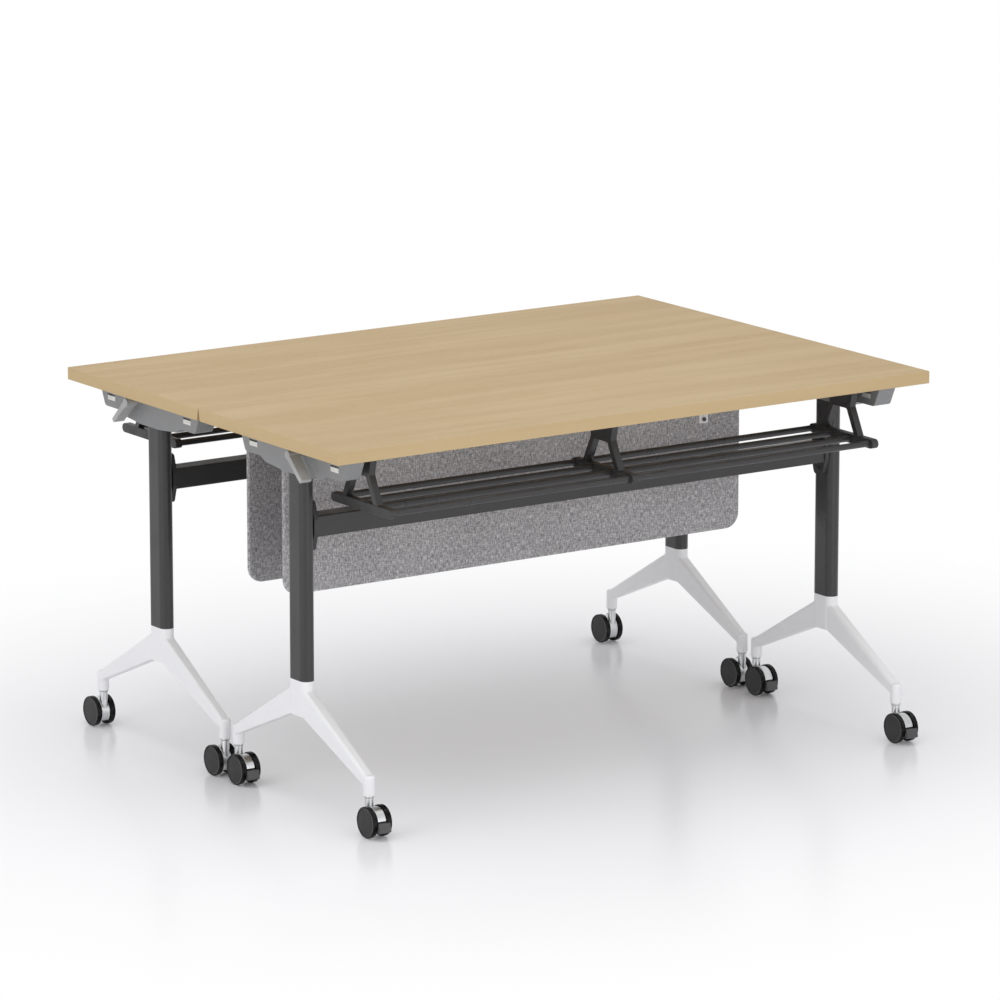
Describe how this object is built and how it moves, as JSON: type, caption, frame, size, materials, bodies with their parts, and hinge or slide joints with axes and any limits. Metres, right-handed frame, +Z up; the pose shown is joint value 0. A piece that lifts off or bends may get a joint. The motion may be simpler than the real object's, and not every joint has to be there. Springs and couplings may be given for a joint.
{
  "type": "folding office table pair",
  "caption": "Flip-top nesting tables on castors pushed together back to back, each with a shelf and a fabric modesty panel.",
  "frame": {"origin": "on the floor under the middle of the seam between the two tops", "axes": "+X along the tables, +Y from the front user to the rear user, +Z up"},
  "size_m": [1.4, 1.105, 0.75],
  "materials": {
    "oak_board": "light oak laminate, satin",
    "bracket_grey": "grey powder coat",
    "insert_white": "moulded nylon",
    "lever_grey": "grey powder coat",
    "frame_black": "black powder coat",
    "foot_white": "white powder coat",
    "fastener_steel": "zinc plated",
    "panel_fabric": "grey melange weave over board",
    "hinge_grey": "light grey powder coat",
    "yoke_chrome": "bright chrome",
    "wheel_black": "nylon with polyurethane tread",
    "pedal_grey": "moulded"
  },
  "bodies": {
    "front_frame": {"front_leg_left": "frame_black", "front_leg_right": "frame_black", "front_foot_left": "foot_white", "front_foot_right": "foot_white", "front_beam": "frame_black"},
    "front_top": {"front_top": "oak_board", "front_bracket_left": "bracket_grey", "front_bracket_right": "bracket_grey", "front_inserts": "insert_white", "front_fasteners": "fastener_steel", "front_shelf_rails": "frame_black", "front_shelf_ends": "frame_black", "front_hangers": "frame_black", "front_panel_leaves": "hinge_grey"},
    "front_panel": {"front_panel": "panel_fabric", "front_panel_straps": "hinge_grey"},
    "front_lever_left": {"front_lever_left": "lever_grey"},
    "front_castor_left_user_yoke": {"front_castor_left_user_yoke": "yoke_chrome"},
    "front_castor_left_user_wheels": {"front_castor_left_user_wheels": "wheel_black"},
    "front_castor_left_user_pedal": {"front_castor_left_user_pedal": "pedal_grey"},
    "front_castor_left_seam_yoke": {"front_castor_left_seam_yoke": "yoke_chrome"},
    "front_castor_left_seam_wheels": {"front_castor_left_seam_wheels": "wheel_black"},
    "front_castor_left_seam_pedal": {"front_castor_left_seam_pedal": "pedal_grey"},
    "front_lever_right": {"front_lever_right": "lever_grey"},
    "front_castor_right_user_yoke": {"front_castor_right_user_yoke": "yoke_chrome"},
    "front_castor_right_user_wheels": {"front_castor_right_user_wheels": "wheel_black"},
    "front_castor_right_user_pedal": {"front_castor_right_user_pedal": "pedal_grey"},
    "front_castor_right_seam_yoke": {"front_castor_right_seam_yoke": "yoke_chrome"},
    "front_castor_right_seam_wheels": {"front_castor_right_seam_wheels": "wheel_black"},
    "front_castor_right_seam_pedal": {"front_castor_right_seam_pedal": "pedal_grey"},
    "rear_frame": {"rear_leg_left": "frame_black", "rear_leg_right": "frame_black", "rear_foot_left": "foot_white", "rear_foot_right": "foot_white", "rear_beam": "frame_black"},
    "rear_top": {"rear_top": "oak_board", "rear_bracket_left": "bracket_grey", "rear_bracket_right": "bracket_grey", "rear_inserts": "insert_white", "rear_fasteners": "fastener_steel", "rear_shelf_rails": "frame_black", "rear_shelf_ends": "frame_black", "rear_hangers": "frame_black", "rear_panel_leaves": "hinge_grey"},
    "rear_panel": {"rear_panel": "panel_fabric", "rear_panel_straps": "hinge_grey"},
    "rear_lever_left": {"rear_lever_left": "lever_grey"},
    "rear_castor_left_user_yoke": {"rear_castor_left_user_yoke": "yoke_chrome"},
    "rear_castor_left_user_wheels": {"rear_castor_left_user_wheels": "wheel_black"},
    "rear_castor_left_user_pedal": {"rear_castor_left_user_pedal": "pedal_grey"},
    "rear_castor_left_seam_yoke": {"rear_castor_left_seam_yoke": "yoke_chrome"},
    "rear_castor_left_seam_wheels": {"rear_castor_left_seam_wheels": "wheel_black"},
    "rear_castor_left_seam_pedal": {"rear_castor_left_seam_pedal": "pedal_grey"},
    "rear_lever_right": {"rear_lever_right": "lever_grey"},
    "rear_castor_right_user_yoke": {"rear_castor_right_user_yoke": "yoke_chrome"},
    "rear_castor_right_user_wheels": {"rear_castor_right_user_wheels": "wheel_black"},
    "rear_castor_right_user_pedal": {"rear_castor_right_user_pedal": "pedal_grey"},
    "rear_castor_right_seam_yoke": {"rear_castor_right_seam_yoke": "yoke_chrome"},
    "rear_castor_right_seam_wheels": {"rear_castor_right_seam_wheels": "wheel_black"},
    "rear_castor_right_seam_pedal": {"rear_castor_right_seam_pedal": "pedal_grey"}
  },
  "joints": [
    {"name": "roll_apart", "type": "slide", "parent": "front_frame", "child": "rear_frame", "axis": [0, 1, 0], "range_m": [0, 0.5]},
    {"name": "front_flip", "type": "hinge", "parent": "front_frame", "child": "front_top", "pos_m": [0, -0.2, 0.69], "axis": [-1, 0, 0], "range_deg": [0, 90]},
    {"name": "front_panel_hang", "type": "hinge", "parent": "front_top", "child": "front_panel", "pos_m": [0, -0.0645, 0.7145], "axis": [-1, 0, 0], "range_deg": [-90, 0]},
    {"name": "front_lever_left_lift", "type": "hinge", "parent": "front_top", "child": "front_lever_left", "pos_m": [-0.675, -0.3, 0.709], "axis": [-1, 0, 0], "range_deg": [0, 25], "stiffness_Nm_per_rad": 0.4, "springref_deg": -5.73},
    {"name": "front_castor_left_user_swivel", "type": "hinge", "parent": "front_frame", "child": "front_castor_left_user_yoke", "pos_m": [-0.631, -0.495, 0.08], "axis": [0, 0, 1], "continuous": true},
    {"name": "front_castor_left_user_roll", "type": "hinge", "parent": "front_castor_left_user_yoke", "child": "front_castor_left_user_wheels", "pos_m": [-0.631, -0.513, 0.0305], "axis": [1, 0, 0], "continuous": true},
    {"name": "front_castor_left_user_brake", "type": "hinge", "parent": "front_castor_left_user_yoke", "child": "front_castor_left_user_pedal", "pos_m": [-0.631, -0.525, 0.031], "axis": [1, 0, 0], "range_deg": [0, 12]},
    {"name": "front_castor_left_seam_swivel", "type": "hinge", "parent": "front_frame", "child": "front_castor_left_seam_yoke", "pos_m": [-0.631, -0.025, 0.08], "axis": [0, 0, 1], "range_deg": [-90, 90]},
    {"name": "front_castor_left_seam_roll", "type": "hinge", "parent": "front_castor_left_seam_yoke", "child": "front_castor_left_seam_wheels", "pos_m": [-0.631, -0.043, 0.0305], "axis": [1, 0, 0], "continuous": true},
    {"name": "front_castor_left_seam_brake", "type": "hinge", "parent": "front_castor_left_seam_yoke", "child": "front_castor_left_seam_pedal", "pos_m": [-0.631, -0.055, 0.031], "axis": [1, 0, 0], "range_deg": [0, 12]},
    {"name": "front_lever_right_lift", "type": "hinge", "parent": "front_top", "child": "front_lever_right", "pos_m": [0.675, -0.3, 0.709], "axis": [-1, 0, 0], "range_deg": [0, 25], "stiffness_Nm_per_rad": 0.4, "springref_deg": -5.73},
    {"name": "front_castor_right_user_swivel", "type": "hinge", "parent": "front_frame", "child": "front_castor_right_user_yoke", "pos_m": [0.631, -0.495, 0.08], "axis": [0, 0, 1], "continuous": true},
    {"name": "front_castor_right_user_roll", "type": "hinge", "parent": "front_castor_right_user_yoke", "child": "front_castor_right_user_wheels", "pos_m": [0.631, -0.513, 0.0305], "axis": [1, 0, 0], "continuous": true},
    {"name": "front_castor_right_user_brake", "type": "hinge", "parent": "front_castor_right_user_yoke", "child": "front_castor_right_user_pedal", "pos_m": [0.631, -0.525, 0.031], "axis": [1, 0, 0], "range_deg": [0, 12]},
    {"name": "front_castor_right_seam_swivel", "type": "hinge", "parent": "front_frame", "child": "front_castor_right_seam_yoke", "pos_m": [0.631, -0.025, 0.08], "axis": [0, 0, 1], "range_deg": [-90, 90]},
    {"name": "front_castor_right_seam_roll", "type": "hinge", "parent": "front_castor_right_seam_yoke", "child": "front_castor_right_seam_wheels", "pos_m": [0.631, -0.043, 0.0305], "axis": [1, 0, 0], "continuous": true},
    {"name": "front_castor_right_seam_brake", "type": "hinge", "parent": "front_castor_right_seam_yoke", "child": "front_castor_right_seam_pedal", "pos_m": [0.631, -0.055, 0.031], "axis": [1, 0, 0], "range_deg": [0, 12]},
    {"name": "rear_flip", "type": "hinge", "parent": "rear_frame", "child": "rear_top", "pos_m": [0, 0.2, 0.69], "axis": [1, 0, 0], "range_deg": [0, 90]},
    {"name": "rear_panel_hang", "type": "hinge", "parent": "rear_top", "child": "rear_panel", "pos_m": [0, 0.0645, 0.7145], "axis": [1, 0, 0], "range_deg": [-90, 0]},
    {"name": "rear_lever_left_lift", "type": "hinge", "parent": "rear_top", "child": "rear_lever_left", "pos_m": [0.675, 0.3, 0.709], "axis": [1, 0, 0], "range_deg": [0, 25], "stiffness_Nm_per_rad": 0.4, "springref_deg": -5.73},
    {"name": "rear_castor_left_user_swivel", "type": "hinge", "parent": "rear_frame", "child": "rear_castor_left_user_yoke", "pos_m": [0.631, 0.495, 0.08], "axis": [0, 0, 1], "continuous": true},
    {"name": "rear_castor_left_user_roll", "type": "hinge", "parent": "rear_castor_left_user_yoke", "child": "rear_castor_left_user_wheels", "pos_m": [0.631, 0.513, 0.0305], "axis": [1, 0, 0], "continuous": true},
    {"name": "rear_castor_left_user_brake", "type": "hinge", "parent": "rear_castor_left_user_yoke", "child": "rear_castor_left_user_pedal", "pos_m": [0.631, 0.525, 0.031], "axis": [-1, 0, 0], "range_deg": [0, 12]},
    {"name": "rear_castor_left_seam_swivel", "type": "hinge", "parent": "rear_frame", "child": "rear_castor_left_seam_yoke", "pos_m": [0.631, 0.025, 0.08], "axis": [0, 0, 1], "range_deg": [-90, 90]},
    {"name": "rear_castor_left_seam_roll", "type": "hinge", "parent": "rear_castor_left_seam_yoke", "child": "rear_castor_left_seam_wheels", "pos_m": [0.631, 0.043, 0.0305], "axis": [1, 0, 0], "continuous": true},
    {"name": "rear_castor_left_seam_brake", "type": "hinge", "parent": "rear_castor_left_seam_yoke", "child": "rear_castor_left_seam_pedal", "pos_m": [0.631, 0.055, 0.031], "axis": [-1, 0, 0], "range_deg": [0, 12]},
    {"name": "rear_lever_right_lift", "type": "hinge", "parent": "rear_top", "child": "rear_lever_right", "pos_m": [-0.675, 0.3, 0.709], "axis": [1, 0, 0], "range_deg": [0, 25], "stiffness_Nm_per_rad": 0.4, "springref_deg": -5.73},
    {"name": "rear_castor_right_user_swivel", "type": "hinge", "parent": "rear_frame", "child": "rear_castor_right_user_yoke", "pos_m": [-0.631, 0.495, 0.08], "axis": [0, 0, 1], "continuous": true},
    {"name": "rear_castor_right_user_roll", "type": "hinge", "parent": "rear_castor_right_user_yoke", "child": "rear_castor_right_user_wheels", "pos_m": [-0.631, 0.513, 0.0305], "axis": [1, 0, 0], "continuous": true},
    {"name": "rear_castor_right_user_brake", "type": "hinge", "parent": "rear_castor_right_user_yoke", "child": "rear_castor_right_user_pedal", "pos_m": [-0.631, 0.525, 0.031], "axis": [-1, 0, 0], "range_deg": [0, 12]},
    {"name": "rear_castor_right_seam_swivel", "type": "hinge", "parent": "rear_frame", "child": "rear_castor_right_seam_yoke", "pos_m": [-0.631, 0.025, 0.08], "axis": [0, 0, 1], "range_deg": [-90, 90]},
    {"name": "rear_castor_right_seam_roll", "type": "hinge", "parent": "rear_castor_right_seam_yoke", "child": "rear_castor_right_seam_wheels", "pos_m": [-0.631, 0.043, 0.0305], "axis": [1, 0, 0], "continuous": true},
    {"name": "rear_castor_right_seam_brake", "type": "hinge", "parent": "rear_castor_right_seam_yoke", "child": "rear_castor_right_seam_pedal", "pos_m": [-0.631, 0.055, 0.031], "axis": [-1, 0, 0], "range_deg": [0, 12]}
  ],
  "couplings": [
    {"joint": "front_panel_hang", "follows": "front_flip", "ratio": -1},
    {"joint": "rear_panel_hang", "follows": "rear_flip", "ratio": -1}
  ]
}
